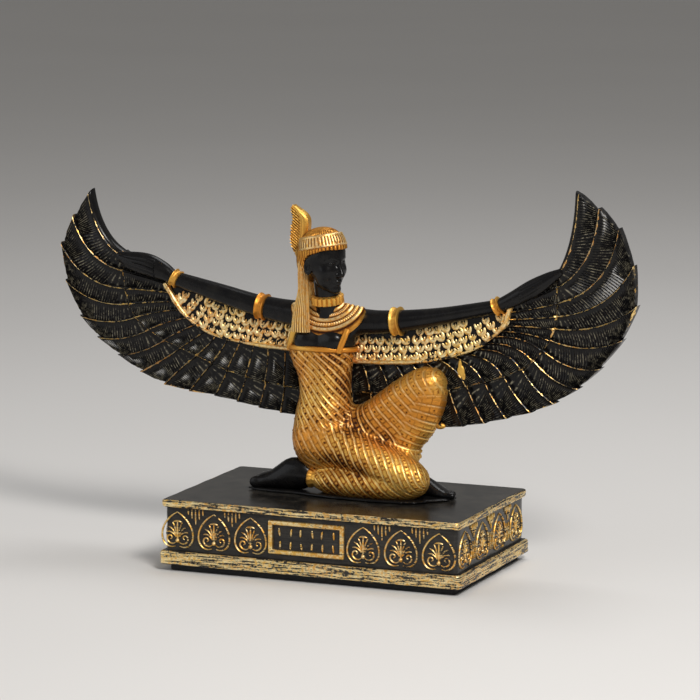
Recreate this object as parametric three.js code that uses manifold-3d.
// Winged goddess figurine: a woman kneels on one knee with her feathered wings spread wide,
// on an oblong plinth with a carved palmette band. Moulded, painted black and antique gold.
// Millimetres. +X is the viewer's right, +Y the back, +Z up. The origin is the centre of the underside.
import * as THREE from 'three';
import { mergeVertices } from 'three/addons/utils/BufferGeometryUtils.js';
import Module from 'manifold-3d';

const wasm = await Module();
wasm.setup();

// Driving dimensions: plinth and pad
const TOP_SLAB = { halfX: 56, halfY: 34, low: 22.8, high: 25.6 };
const BAND = { halfX: 54.8, halfY: 32.8, low: 7.4, high: 22.8 };
const BOTTOM_SLAB = { halfX: 56.8, halfY: 34.8, low: 2.3, high: 7.4 };
const PAD = { halfX: 53.8, halfY: 31.8, low: 0, high: 2 };
const SLAB_EDGE = 0.6;
const GAP = 0.3;

// Driving dimensions: the carved band
const ARCH = { width: 12.4, bottom: 8.8, top: 21.4, rib: 0.9, relief: 0.9 };
const FRONT_ARCHES_EACH_SIDE = 3;
const FRONT_ARCH_PITCH = 14;
const FRONT_ARCH_FIRST = 21.2;
const FRONT_MIDDLE = -0.9;
const SIDE_ARCHES = 4;
const SIDE_ARCH_PITCH = 16.8;
const PANEL = { halfX: 14.2, low: 9.4, high: 21.4, frame: 1.8, relief: 1.1 };
const BACK_FRAME_HALF_X = 52.8;
const STROKE = { width: 0.8, height: 2.3, relief: 0.5, pitch: 4, count: 6, fromMiddle: 1.45 };
const HANGING = { width: 0.7, middle: 5, beside: 3, spacing: 1.3 };
const SUNK = 0.5;

// Driving dimensions: figure
const FIGURE_X = -6.5;
const FOOT_LEVEL = TOP_SLAB.high + GAP;
const HEAD = { x: -7.4, y: -2, z: 107.8, turn: 70 };

// Driving dimensions: wings, as depths (Y) of the layers from the back to the front
const WING_BACK = 11.5;
const PLATE_FRONT = 8.6;
const PRIMARY = { proud: 6.5, low: 7.7 };
const COVERT = { proud: 5.3, low: 6.3 };
const SCALE_PANEL = { front: 4.5, rim: 3.9, rimWidth: 1.5 };

// Stations along each wing, two feathers apart, from the top feather down to the body.
// Each holds four points as distance out from the figure's centre line and height:
// the root under the arm, the end of the short covering feather, the bend and the tip.
// The uppermost feathers curve, so their blades need more steps, and the body hides the last ones.
const STATION_STEP = 2;
const NOTCH = 1.7;
const TIP_WIDTH = 0.3;
const BLADE_OVERLAP = 1.12;
const LAYER_OVERLAP = 0.3;
const CURVED_FEATHERS = 8;
const HIDDEN_FEATHERS = 2;
const HER_RIGHT_WING = [
  { root: [68, 99.5], cover: [83.4, 106.5], bend: [93.5, 112], tip: [95.9, 128.5] },
  { root: [64, 93], cover: [82.6, 93.5], bend: [99.6, 93], tip: [108.2, 108.6] },
  { root: [60, 87], cover: [78.8, 82.9], bend: [89.2, 79], tip: [100.9, 82.2] },
  { root: [54.5, 81.8], cover: [67.3, 75.2], bend: [76.4, 69.3], tip: [85.9, 68.6] },
  { root: [46.5, 78], cover: [54.6, 70.4], bend: [61.5, 65.2], tip: [67.6, 58.7] },
  { root: [37, 76.2], cover: [42.5, 65.5], bend: [45, 60.5], tip: [47.6, 56] },
  { root: [26, 75.2], cover: [27.5, 62.4], bend: [28.8, 57.2], tip: [30.2, 52.8] },
  { root: [13, 74.6], cover: [13, 60.6], bend: [13.2, 55.4], tip: [13.7, 50.6] },
  { root: [1, 74.4], cover: [0, 60], bend: [-0.5, 55], tip: [-1, 50.4] },
];
const HER_LEFT_WING = [
  { root: [69, 100.5], cover: [82.9, 108.7], bend: [88.3, 118.9], tip: [88.6, 136] },
  { root: [66, 93.5], cover: [83, 97.5], bend: [102, 103.2], tip: [104.6, 124] },
  { root: [64.5, 88.5], cover: [82.5, 88.5], bend: [99.1, 87.4], tip: [111.4, 97.5] },
  { root: [60.7, 84.4], cover: [78.3, 80.4], bend: [88, 73], tip: [98.8, 75.2] },
  { root: [54.5, 79.6], cover: [70.6, 73.2], bend: [75.5, 65.5], tip: [82.4, 61.8] },
  { root: [46, 76.2], cover: [56.8, 67.7], bend: [59.6, 61.9], tip: [64.8, 55.3] },
  { root: [35, 73.6], cover: [43.5, 64.2], bend: [45.6, 57.8], tip: [48.4, 51.3] },
  { root: [23.5, 72.4], cover: [29, 62], bend: [30.5, 55.8], tip: [32.5, 49.4] },
  { root: [11, 71.9], cover: [14, 61], bend: [14.2, 55.5], tip: [14.5, 50] },
  { root: [0, 71.9], cover: [0, 60.6], bend: [-0.5, 55.2], tip: [-1, 50.4] },
];

// Arms, as distance out, height, half height and half depth
const HER_RIGHT_ARM = [
  [3, 87.6, 5.2, 5], [16.4, 88.4, 4.5, 4.3], [28, 90, 3.9, 3.8], [43.5, 93.7, 3.4, 3.4],
  [61.5, 98.2, 2.5, 2.7],
];
const HER_LEFT_ARM = [
  [3, 87, 5, 4.8], [16, 86.8, 4.3, 4.2], [25, 87.6, 4, 3.9], [40.6, 90.3, 3.1, 3.3], [62, 95, 2.4, 2.6],
];
const HER_RIGHT_HAND = [
  [60, 97.8, 2.4, 2.4], [66, 100.4, 3.4, 2.8], [72, 102.4, 4.1, 2.8], [79, 103.7, 3.3, 2.2],
  [84, 105.2, 0.9, 0.9],
];
const HER_LEFT_HAND = [
  [60.5, 94.6, 2.3, 2.4], [67, 97.6, 2.7, 2.6], [75, 102.2, 3.1, 2.3], [85, 108.4, 1.2, 1.2],
];
const ARM_Y = 4.6;

// Helpers: solids, joins and placing

// A closed three.js geometry becomes a solid, turned right side out where a mirror turned it inside out
function solidOf(geometry) {
  const bare = geometry.clone();
  bare.deleteAttribute('normal');
  bare.deleteAttribute('uv');
  const welded = mergeVertices(bare, 1e-4);
  const vertProperties = Float32Array.from(welded.attributes.position.array);
  const triVerts = Uint32Array.from(welded.index.array);
  if (signedVolume(vertProperties, triVerts) < 0) {
    for (let i = 0; i < triVerts.length; i += 3) {
      const first = triVerts[i];
      triVerts[i] = triVerts[i + 1];
      triVerts[i + 1] = first;
    }
  }
  return new wasm.Manifold(new wasm.Mesh({ numProp: 3, vertProperties, triVerts }));
}

function signedVolume(points, faces) {
  let six = 0;
  for (let i = 0; i < faces.length; i += 3) {
    const [a, b, c] = [faces[i], faces[i + 1], faces[i + 2]].map((v) => new THREE.Vector3(
      points[3 * v], points[3 * v + 1], points[3 * v + 2]));
    six += a.dot(b.cross(c));
  }
  return six / 6;
}

function joined(solids) {
  return solids.reduce((whole, next) => whole.add(next));
}

// Overlapping parts can leave sealed hollows between them, whose inner skin has a negative volume
function filled(solid) {
  return joined(solid.decompose().filter((part) => part.volume() > 0));
}

function moved(geometry, x, y, z) {
  return geometry.translate(x, y, z);
}

// A piece of the group, cleaned of slivers shorter than the tolerance
function piece(name, solid, material, tolerance = 0.2) {
  const { vertProperties, triVerts } = filled(solid.simplify(tolerance)).getMesh();
  const geometry = new THREE.BufferGeometry();
  geometry.setAttribute('position', new THREE.BufferAttribute(Float32Array.from(vertProperties), 3));
  geometry.setIndex(new THREE.BufferAttribute(Uint32Array.from(triVerts), 1));
  geometry.computeVertexNormals();
  const mesh = new THREE.Mesh(geometry, material);
  mesh.name = name;
  return mesh;
}

function block({ halfX, halfY, low, high }, edge = 0) {
  const outline = new THREE.Shape();
  outline.moveTo(edge - halfX, edge - halfY);
  outline.lineTo(halfX - edge, edge - halfY);
  outline.lineTo(halfX - edge, halfY - edge);
  outline.lineTo(edge - halfX, halfY - edge);
  outline.closePath();
  const settings = { depth: high - low - 2 * edge, bevelEnabled: edge > 0, bevelSegments: 1,
    bevelThickness: edge, bevelSize: edge };
  return solidOf(moved(new THREE.ExtrudeGeometry(outline, settings), 0, 0, low + edge));
}

// An outline in the upright XZ plane, extruded towards the viewer from depth back to depth front
function upright(outline, back, front, bevel = 0) {
  const settings = { depth: back - front - 2 * bevel, curveSegments: 6, bevelEnabled: bevel > 0,
    bevelSegments: 1, bevelThickness: bevel, bevelSize: bevel, bevelOffset: -bevel };
  const geometry = new THREE.ExtrudeGeometry(outline, settings).rotateX(Math.PI / 2);
  return solidOf(moved(geometry, 0, back - bevel, 0));
}

// A round or oval limb along a smooth curve, with one ring of corners at each station.
// A station is a centre, a half width along the wide direction and a half height across it.
function limb(stations, wide, sides) {
  const centres = new THREE.CatmullRomCurve3(stations.map((s) => new THREE.Vector3(...s.at)));
  const halves = new THREE.CatmullRomCurve3(stations.map((s) => new THREE.Vector3(s.half[0], s.half[1], 0)));
  const geometry = new THREE.CylinderGeometry(1, 1, 1, sides, stations.length - 1);
  const place = geometry.attributes.position;
  const wideAxis = new THREE.Vector3(...wide);
  for (let i = 0; i < place.count; i += 1) {
    const t = THREE.MathUtils.clamp(place.getY(i) + 0.5, 0, 1);
    const centre = centres.getPoint(t);
    const half = halves.getPoint(t);
    const along = centres.getTangent(t);
    const across = wideAxis.clone().addScaledVector(along, -wideAxis.dot(along)).normalize();
    const other = across.clone().cross(along);
    centre.addScaledVector(across, place.getX(i) * half.x);
    centre.addScaledVector(other, place.getZ(i) * half.y);
    place.setXYZ(i, centre.x, centre.y, centre.z);
  }
  return solidOf(geometry);
}

// A band round an oval limb: a short drum whose axis runs from one point to the other
function cuff(from, to, halfWide, halfHigh, sides = 8) {
  const start = new THREE.Vector3(...from);
  const end = new THREE.Vector3(...to);
  const drum = new THREE.CylinderGeometry(1, 1, start.distanceTo(end), sides).scale(halfHigh, 1, halfWide);
  const direction = end.clone().sub(start).normalize();
  drum.applyQuaternion(new THREE.Quaternion().setFromUnitVectors(new THREE.Vector3(0, 1, 0), direction));
  const middle = start.lerp(end, 0.5);
  return solidOf(moved(drum, middle.x, middle.y, middle.z));
}

// Plinth

// A closed outline from pairs of numbers
function outlineOf(pairs) {
  return new THREE.Shape(pairs.map(([x, y]) => new THREE.Vector2(x, y)));
}

// One palmette in its pointed arch, as outlines in a plane: x across, y up, centred on x = 0.
// Each half of the arch dips at the foot, swells at three tenths of its height and curves in to the peak.
function archShapes() {
  const side = (sign, inset) => {
    const reach = sign * (ARCH.width / 2 - inset);
    const foot = ARCH.bottom + inset;
    const peak = ARCH.top - 1.7 * inset;
    const height = peak - foot;
    const corners = [[0, foot + 1.2], [0.5 * reach, foot], [reach, foot + 0.3 * height],
      [0.72 * reach, foot + 0.62 * height], [0, peak]];
    return new THREE.CatmullRomCurve3(corners.map(([x, y]) => new THREE.Vector3(x, y, 0))).getPoints(4);
  };
  const ring = (inset) => [...side(1, inset), ...side(-1, inset).reverse().slice(1, -1)]
    .map((p) => [p.x, p.y]);
  const rim = outlineOf(ring(0));
  rim.holes.push(outlineOf(ring(ARCH.rib)));
  return [rim, stem(), ...[1, -1].flatMap((sign) => [scroll(sign), frond(sign)])];
}

function stem() {
  const foot = ARCH.bottom + 2.4;
  const top = ARCH.top - 3;
  return outlineOf([[0.8, foot], [0.35, top - 1.2], [1.2, top], [-1.2, top], [-0.35, top - 1.2],
    [-0.8, foot]]);
}

function scroll(sign) {
  const curl = new THREE.Shape();
  curl.absarc(sign * 2.8, ARCH.bottom + 3.6, 1.5, 0, 2 * Math.PI, false);
  return new THREE.Shape(curl.getSpacedPoints(6).slice(1));
}

function frond(sign) {
  const foot = ARCH.bottom + 4.6;
  return outlineOf([[sign * 0.5, foot], [sign * 2.9, foot + 2.3], [sign * 2.2, foot + 3.6]]);
}

// Carving drawn flat at the front face, before it is turned to the face it belongs to
function carved(shape, relief, faceDistance) {
  const settings = { depth: relief + SUNK, bevelEnabled: false, curveSegments: 4 };
  const geometry = new THREE.ExtrudeGeometry(shape, settings).rotateX(Math.PI / 2);
  return moved(geometry, 0, SUNK - faceDistance, 0);
}

// The long faces have an even number of quarter turns from the front, the short ones an odd number
function faceOf(quarterTurns) {
  return quarterTurns % 2 === 0 ? BAND.halfY : BAND.halfX;
}

function palmette(shapes, x, quarterTurns) {
  return shapes.map((shape) => {
    const geometry = moved(carved(shape, ARCH.relief, faceOf(quarterTurns)), x, 0, 0);
    return solidOf(geometry.rotateZ(quarterTurns * Math.PI / 2));
  });
}

// An upright raised stroke on the front face
function frontStroke(width, height, relief, x, middle, faceDistance) {
  const stroke = new THREE.BoxGeometry(width, relief + SUNK, height);
  return moved(stroke, x, -faceDistance - (relief - SUNK) / 2, middle);
}

// Short strokes that hang from the top slab between two arches
function hangingStrokes(x, quarterTurns, places) {
  return places.map((k) => {
    const length = k === 0 ? HANGING.middle : HANGING.beside;
    const middle = BAND.high + GAP - length / 2;
    const geometry = frontStroke(HANGING.width, length, ARCH.relief, x + HANGING.spacing * k, middle,
      faceOf(quarterTurns));
    return solidOf(geometry.rotateZ(quarterTurns * Math.PI / 2));
  });
}

// A raised rectangular frame on the band
function frame(middle, halfX) {
  const ring = (inset) => [
    [middle - halfX + inset, PANEL.low + inset],
    [middle + halfX - inset, PANEL.low + inset],
    [middle + halfX - inset, PANEL.high - inset],
    [middle - halfX + inset, PANEL.high - inset],
  ];
  const shape = outlineOf(ring(0));
  shape.holes.push(outlineOf(ring(PANEL.frame)));
  return carved(shape, PANEL.relief, BAND.halfY);
}

// The panel at the middle of the front: two rows of shallow strokes inside a raised frame
function framedPanel() {
  const parts = [solidOf(frame(FRONT_MIDDLE, PANEL.halfX))];
  const middle = (PANEL.low + PANEL.high) / 2;
  for (let k = 0; k < STROKE.count; k += 1) {
    const x = FRONT_MIDDLE + (k - (STROKE.count - 1) / 2) * STROKE.pitch;
    for (const row of [-1, 1]) {
      const height = middle + row * STROKE.fromMiddle;
      parts.push(solidOf(frontStroke(STROKE.width, STROKE.height, STROKE.relief, x, height, BAND.halfY)));
    }
  }
  return parts;
}

// The front has full palmettes, the right end has rims and stems, and the left end rims alone.
// The back has no palmettes: one long raised frame runs across it.
function plinth() {
  const core = { ...BAND, low: BAND.low - 1, high: BAND.high + 1 };
  const backFrame = solidOf(frame(0, BACK_FRAME_HALF_X).rotateZ(Math.PI));
  const parts = [block(TOP_SLAB, SLAB_EDGE), block(BOTTOM_SLAB, SLAB_EDGE), block(core), backFrame,
    ...framedPanel()];
  for (const sign of [-1, 1]) {
    for (let k = 0; k < FRONT_ARCHES_EACH_SIDE; k += 1) {
      const out = FRONT_ARCH_FIRST + k * FRONT_ARCH_PITCH;
      parts.push(...palmette(archShapes(), FRONT_MIDDLE + sign * out, 0));
      if (k > 0) {
        parts.push(...hangingStrokes(FRONT_MIDDLE + sign * (out - FRONT_ARCH_PITCH / 2), 0, [-1, 0, 1]));
      }
    }
  }
  for (const turn of [1, 3]) {
    const carving = archShapes().slice(0, turn === 1 ? 2 : 1);
    for (let k = 0; k < SIDE_ARCHES; k += 1) {
      parts.push(...palmette(carving, (k - (SIDE_ARCHES - 1) / 2) * SIDE_ARCH_PITCH, turn));
      if (k > 0) {
        parts.push(...hangingStrokes((k - SIDE_ARCHES / 2) * SIDE_ARCH_PITCH, turn, [0]));
      }
    }
  }
  return joined(parts);
}

// Wings

// The point of one rail at a feather's place, which need not be a station
function railPoint(stations, key, feather) {
  const rail = new THREE.CatmullRomCurve3(stations.map((s) => new THREE.Vector3(s[key][0], s[key][1], 0)));
  return rail.getPoint(feather / (STATION_STEP * (stations.length - 1)));
}

// The shaft of a long feather, from where the covering feather ends to its tip
function primaryShaft(stations, feather) {
  return new THREE.QuadraticBezierCurve3(railPoint(stations, 'cover', feather),
    railPoint(stations, 'bend', feather), railPoint(stations, 'tip', feather));
}

// The shaft of a covering feather: it leaves the root and runs into the long feather's line
function coverShaft(stations, feather) {
  const root = railPoint(stations, 'root', feather);
  const end = railPoint(stations, 'cover', feather);
  const onward = railPoint(stations, 'bend', feather).sub(end).normalize();
  const middle = end.clone().addScaledVector(onward, -0.5 * root.distanceTo(end));
  return new THREE.QuadraticBezierCurve3(root, middle, end);
}

// A feather blade between its own shaft and the next one. The shaft edge stands proud, the other edge
// dips under the next feather, and the vane is cut away slantwise over the notch at its tip.
// The root reaches back under the layer above, a little further on every other feather.
function blade(shaft, next, layer, side, steps, rootReach) {
  const geometry = new THREE.BoxGeometry(1, 1, 1, 1, 1, steps + 1);
  const roundedFrom = 1 - NOTCH / shaft.getLength();
  const place = geometry.attributes.position;
  for (let i = 0; i < place.count; i += 1) {
    const across = place.getX(i) + 0.5;
    const step = Math.round((place.getZ(i) + 0.5) * (steps + 1));
    const atTip = step > steps;
    const t = atTip ? 1 : -rootReach + (roundedFrom + rootReach) * step / steps;
    const reach = atTip ? TIP_WIDTH : BLADE_OVERLAP;
    const point = shaft.getPoint(t).lerp(next.getPoint(t), reach * across);
    const front = layer.proud + (layer.low - layer.proud) * across;
    const y = place.getY(i) < 0 ? front : PLATE_FRONT + LAYER_OVERLAP;
    place.setXYZ(i, FIGURE_X + side * point.x, y, point.y);
  }
  return solidOf(geometry);
}

function wing(stations, side) {
  const last = STATION_STEP * (stations.length - 1);
  const tipOf = (curve) => curve.getPoint(1);
  const parts = [];
  const edge = [];
  for (let k = 0; k < last; k += 1) {
    const long = primaryShaft(stations, k);
    const nextLong = primaryShaft(stations, k + 1);
    edge.push(tipOf(long), tipOf(long).lerp(tipOf(nextLong), TIP_WIDTH));
    edge.push(nextLong.getPoint(1 - NOTCH / nextLong.getLength()));
    if (k < last - HIDDEN_FEATHERS) {
      const rootReach = k % 2 === 0 ? 0.08 : 0.03;
      const steps = k < CURVED_FEATHERS ? 4 : 1;
      const short = coverShaft(stations, k);
      const nextShort = coverShaft(stations, k + 1);
      parts.push(blade(long, nextLong, PRIMARY, side, steps, rootReach));
      parts.push(blade(short, nextShort, COVERT, side, Math.ceil(steps / 2), rootReach));
    }
  }
  const topShaft = primaryShaft(stations, 0);
  const plate = [...edge, ...armLine(side), ...[0, 0.35, 0.7].map((t) => topShaft.getPoint(t))];
  parts.push(upright(flat(plate, side), WING_BACK, PLATE_FRONT));
  parts.push(...scalePanel(stations, side));
  return joined(parts);
}

function flat(points, side) {
  return new THREE.Shape(points.map((p) => new THREE.Vector2(FIGURE_X + side * p.x, p.y)));
}

// The middle line of an arm, from the shoulder to the wrist
function armLine(side) {
  const arm = side < 0 ? HER_RIGHT_ARM : HER_LEFT_ARM;
  return arm.map(([out, height]) => new THREE.Vector3(out, height, 0));
}

// The scaled panel under the arm with its raised lower rim, which is drawn a rim's width up and inwards
function scalePanel(stations, side) {
  const firstFeather = 1.4;
  const featherStep = 2.4;
  const last = STATION_STEP * (stations.length - 1);
  const low = [];
  for (let k = firstFeather; k <= last; k += featherStep) {
    low.push(railPoint(stations, 'root', k));
  }
  const rimOffset = new THREE.Vector3(-0.25, 1, 0).multiplyScalar(SCALE_PANEL.rimWidth);
  const inner = low.map((p) => p.clone().add(rimOffset)).reverse();
  const back = PLATE_FRONT + LAYER_OVERLAP;
  return [
    upright(flat([...low, ...armLine(side)], side), back, SCALE_PANEL.front),
    upright(flat([...low, ...inner], side), back, SCALE_PANEL.rim),
  ];
}

// Arms and hands
function armSolids(arm, hand, side, armband, wristband) {
  const stations = (list) => list.map(([out, height, halfHigh, halfDeep]) => ({
    at: [FIGURE_X + side * out, ARM_Y, height], half: [halfDeep, halfHigh] }));
  const point = ([out, height]) => [FIGURE_X + side * out, ARM_Y, height];
  return [
    limb(stations(arm), [0, 1, 0], 10),
    limb(stations(hand), [0, 1, 0], 8),
    cuff(point(armband.from), point(armband.to), armband.half, armband.half),
    cuff(point(wristband.from), point(wristband.to), wristband.half, wristband.half),
  ];
}

// Body and dress
function bodySolids() {
  const torso = limb([
    { at: [-9, 0.4, 36.4], half: [7, 6] }, { at: [-9.4, 0.6, 40.4], half: [10.2, 8.8] },
    { at: [-9, 0.6, 46], half: [11.2, 9.6] }, { at: [-7.9, 0.4, 53], half: [10.8, 9] },
    { at: [-8, 0.6, 61], half: [9.8, 7.2] }, { at: [-8.4, 0.8, 69], half: [10.4, 7] },
    { at: [-9.2, 1, 76], half: [12.4, 7.4] }, { at: [-7.2, 1.8, 86.5], half: [10.6, 6] },
    { at: [-6.6, 1.4, 92.6], half: [5.6, 4.4] },
  ], [1, 0, 0], 12);
  const kneelingThigh = limb([
    { at: [-10, -1.5, 44], half: [8, 8.4] }, { at: [0, -3.4, 43], half: [7.6, 7.8] },
    { at: [12, -4.6, 39.4], half: [7.2, 6.6] }, { at: [22, -4.8, 36], half: [7, 6.6] },
    { at: [29, -4.6, 33.6], half: [6.4, 6.6] }, { at: [33.6, -4.6, 32.4], half: [2.6, 3] },
  ], [0, 1, 0], 10);
  const kneelingShin = limb([
    { at: [30, -4.6, 31.6], half: [6.2, 5.6] }, { at: [20, -4.8, 31.2], half: [6.8, 5.5] },
    { at: [6, -5, 31.2], half: [6.8, 5.5] }, { at: [-6, -4.6, 31], half: [6, 5.3] },
    { at: [-13, -4.2, 31], half: [5, 4.9] },
  ], [0, 1, 0], 10);
  const raisedThigh = limb([
    { at: [-4, 3, 47], half: [7.4, 7.4] }, { at: [8, 4.6, 51.2], half: [7.4, 6.6] },
    { at: [20, 5.6, 60], half: [7, 6.6] }, { at: [29, 6, 65.6], half: [6.4, 6.4] },
    { at: [33.4, 6, 67.6], half: [4, 4.2] },
  ], [0, 1, 0], 10);
  const raisedShin = limb([
    { at: [31.6, 6, 67.4], half: [4.6, 4.2] }, { at: [30, 6, 62], half: [6, 6] },
    { at: [25.8, 6.2, 52], half: [6, 5.8] }, { at: [21.6, 6.6, 43.6], half: [5.8, 5.2] },
    { at: [20.8, 6.8, 37.4], half: [5, 4.6] },
  ], [0, 1, 0], 10);
  const dressBetween = limb([
    { at: [2, 3.6, 45], half: [6, 6.4] }, { at: [13, 4.8, 48], half: [5.8, 7.2] },
    { at: [26, 5.8, 57], half: [4.6, 5.6] },
  ], [0, 1, 0], 8);
  const lap = limb([
    { at: [-2, 1, 40], half: [7, 8] }, { at: [12, 2, 39.4], half: [7, 6.2] },
    { at: [24.4, 3, 38], half: [4, 3.6] },
  ], [0, 1, 0], 8);
  return [torso, kneelingThigh, kneelingShin, raisedThigh, raisedShin, dressBetween, lap];
}

function feetSolids() {
  const kneelingFoot = limb([
    { at: [-11, -4, 30.8], half: [4, 4.4] }, { at: [-17, -3.6, 31.9], half: [4.4, 6] },
    { at: [-22, -3.2, 30.6], half: [4.5, 4.8] }, { at: [-27, -3, 29.3], half: [4.4, 3.7] },
    { at: [-32, -3, 28.7], half: [4.2, 2.9] }, { at: [-34.6, -3, 28.2], half: [2.6, 2] },
  ], [0, 1, 0], 9);
  const raisedFoot = limb([
    { at: [18.6, 7.4, 32], half: [4, 5.6] }, { at: [24, 7.6, 30.4], half: [4, 4.6] },
    { at: [30, 8, 28.8], half: [4.2, 3.2] }, { at: [36, 8.4, 27.4], half: [4, 1.9] },
    { at: [39.4, 8.6, 26.9], half: [2.4, 1] },
  ], [0, 1, 0], 9);
  return [kneelingFoot, raisedFoot];
}

// The low bed of paint and resin that the figure kneels in
function bedSolids() {
  const thickness = 0.8;
  const bed = outlineOf([[-36.4, -6], [-33, -8.2], [-14, -9.6], [0, -12.4], [24, -12.6], [32, -10.6],
    [42, 6], [40, 11.6], [22, 12.4], [-12, 9], [-22, 3], [-35, 0.6]]);
  const geometry = new THREE.ExtrudeGeometry(bed, { depth: thickness, bevelEnabled: false });
  return [solidOf(moved(geometry, 0, 0, FOOT_LEVEL))];
}

// Trim of the dress and the jewellery
function trimSolids() {
  const topBand = new THREE.TorusGeometry(1, 0.1, 4, 14);
  topBand.scale(12.2, 7.4, 9).rotateX(0.04);
  const strap = (points) => limb(points.map((at) => ({ at, half: [1.1, 0.8] })), [1, 0, 0], 5);
  return [
    solidOf(moved(topBand, -9.2, 1, 77)),
    strap([[-20, -2.4, 77.4], [-18.6, -3.6, 81], [-17.4, -3.8, 85]]),
    strap([[-0.4, -5.4, 77.4], [1.6, -4.6, 82], [3.4, -3.6, 87]]),
    cuff([-11.4, -4.2, 31], [-13.8, -4.2, 31], 5.6, 5.2, 10),
    cuff([21.6, 6.6, 43], [20.8, 6.8, 40.6], 6, 5.8, 10),
    cuff([-6.3, -0.6, 93.2], [-6.5, -1, 96.4], 5.2, 5.2, 10),
  ];
}

// A broad collar of stepped rings, lower at the chest than at the back
function collarSolid() {
  const rings = 3;
  const inner = 5.2;
  const outer = 15.4;
  const profile = [new THREE.Vector2(0, -6), new THREE.Vector2(outer, -6)];
  for (let k = 0; k < rings; k += 1) {
    const radius = outer + (inner - outer) * k / rings;
    const nextRadius = outer + (inner - outer) * (k + 0.8) / rings;
    const height = -4.2 + 6.2 * k / rings;
    profile.push(new THREE.Vector2(radius, height), new THREE.Vector2(nextRadius, height + 0.9));
  }
  profile.push(new THREE.Vector2(inner, 2), new THREE.Vector2(0, 2));
  const geometry = new THREE.LatheGeometry(profile, 12).rotateX(Math.PI / 2).scale(1, 0.56, 1);
  geometry.rotateX(THREE.MathUtils.degToRad(20));
  return solidOf(moved(geometry, -5.4, 1.4, 90));
}

// Head, hair and head feather
function headSolids() {
  const turned = [];
  const add = (geometry, x, y, z) => turned.push(moved(geometry, x, y, z));
  const oval = (halfX, halfY, halfZ, sides = 10, rings = 5) => new THREE.SphereGeometry(1, sides, rings)
    .rotateX(Math.PI / 2).scale(halfX, halfY, halfZ);
  add(oval(7, 8.4, 8), 0, 0.8, 2.4);
  add(oval(5.6, 5.8, 8.4), 0, -2.2, -2.2);
  add(oval(2.4, 2, 2, 6, 4), 0, -5.4, -8.4);
  for (const sign of [-1, 1]) {
    add(oval(1.7, 0.9, 0.7, 6, 4), sign * 2.7, -6.6, 0);
    add(oval(1, 1.7, 3.1, 6, 4), sign * 6.6, 1.6, -1.4);
  }
  const nose = new THREE.ConeGeometry(1.5, 6, 5).rotateX(Math.PI / 2 - 0.25);
  add(nose, 0, -7.2, -1.4);
  // Hair cap over the crown, cut away in front of the face, with the band round it
  const cap = solidOf(moved(oval(7.9, 9.5, 9, 12, 6), 0, 1.2, 3.4));
  const face = new THREE.BoxGeometry(30, 14, 30);
  face.rotateX(-0.5);
  const faceCut = solidOf(moved(face, 0, -8.6, -9.6));
  const band = new THREE.CylinderGeometry(0.84, 1, 4.8, 12).rotateX(Math.PI / 2).scale(8.1, 9.7, 1);
  band.rotateX(-0.16);
  const place = (solid) => solid.rotate([0, 0, HEAD.turn]).translate([HEAD.x, HEAD.y, HEAD.z]);
  return [...turned.map(solidOf), cap.subtract(faceCut), solidOf(moved(band, 0, 0.9, 6.9))].map(place);
}

function hairSolids() {
  const lappet = limb([
    { at: [-14.4, -3.4, 110], half: [2.4, 3] }, { at: [-15.4, -4.4, 104], half: [1.9, 2.4] },
    { at: [-15.3, -5, 98], half: [2, 2] }, { at: [-15, -5.4, 91], half: [3, 1.9] },
    { at: [-15, -6, 83.6], half: [3.7, 1.8] },
  ], [1, 0, 0], 8);
  const backHair = limb([
    { at: [-12.6, 1.6, 112], half: [5, 5] }, { at: [-12.4, 3.4, 104], half: [5.2, 4.6] },
    { at: [-11, 5.6, 95], half: [6.2, 4] }, { at: [-10, 7.6, 83], half: [7.4, 3.2] },
  ], [1, 0, 0], 8);
  const neck = limb([
    { at: [-6.4, 0.4, 88], half: [5, 4.6] }, { at: [-6.4, -0.6, 94], half: [4.6, 4.4] },
    { at: [-6.8, -1.4, 103], half: [4.6, 4.6] },
  ], [1, 0, 0], 10);
  return [lappet, backHair, neck];
}

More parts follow.
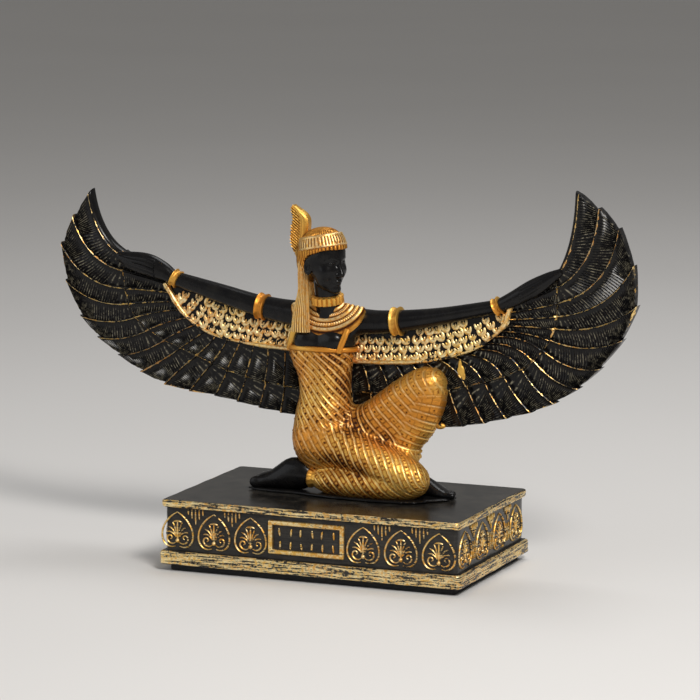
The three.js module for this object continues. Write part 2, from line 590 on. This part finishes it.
function headFeather() {
  const outline = new THREE.Shape();
  outline.moveTo(-18.6, 109);
  outline.bezierCurveTo(-21.4, 112, -20.8, 118, -20, 123);
  outline.lineTo(-20.8, 126.6);
  outline.bezierCurveTo(-18, 128, -14, 126, -13.9, 121);
  outline.bezierCurveTo(-13.8, 117, -16.2, 115, -13.6, 111);
  outline.closePath();
  const shaft = new THREE.Shape();
  shaft.moveTo(-16.8, 109);
  shaft.bezierCurveTo(-17.4, 116, -15.4, 120, -20.2, 126.8);
  shaft.bezierCurveTo(-17.6, 128, -14, 126, -13.9, 121);
  shaft.bezierCurveTo(-13.8, 117, -16.2, 115, -13.6, 109);
  shaft.closePath();
  return [upright(outline, 2.6, -0.4), upright(shaft, 3.2, -1.2, 0.4)];
}

function wingedFigure() {
  const bands = {
    rightArm: { from: [25.6, 89.3], to: [28.8, 90.2], half: 4.4 },
    rightWrist: { from: [59.8, 97.7], to: [62.2, 98.4], half: 3 },
    leftArm: { from: [22.8, 87.1], to: [26, 87.7], half: 4.8 },
    leftWrist: { from: [60.6, 94.6], to: [63, 95.4], half: 2.8 },
  };
  return joined([
    wing(HER_RIGHT_WING, -1),
    wing(HER_LEFT_WING, 1),
    ...armSolids(HER_RIGHT_ARM, HER_RIGHT_HAND, -1, bands.rightArm, bands.rightWrist),
    ...armSolids(HER_LEFT_ARM, HER_LEFT_HAND, 1, bands.leftArm, bands.leftWrist),
    ...bodySolids(),
    ...feetSolids(),
    ...bedSolids(),
    ...trimSolids(),
    collarSolid(),
    ...headSolids(),
    ...hairSolids(),
    ...headFeather(),
  ]);
}

// The figure's underside is cut flat where it stands on the plinth
function standing(solid) {
  return filled(solid.trimByPlane([0, 0, 1], FOOT_LEVEL));
}

// Materials and the group, standing on its pad
const blackPaint = new THREE.MeshStandardMaterial({ color: 0x17161a, roughness: 0.32, metalness: 0.1 });
const blackAndGold = new THREE.MeshStandardMaterial({ color: 0x3a2c17, roughness: 0.42, metalness: 0.35 });
const blackFelt = new THREE.MeshStandardMaterial({ color: 0x101010, roughness: 0.9, metalness: 0 });

const statue = new THREE.Group();
statue.add(piece('foot_pad', block(PAD), blackFelt));
statue.add(piece('plinth', plinth(), blackAndGold));
statue.add(piece('winged_figure', standing(wingedFigure()), blackPaint));

export default statue;
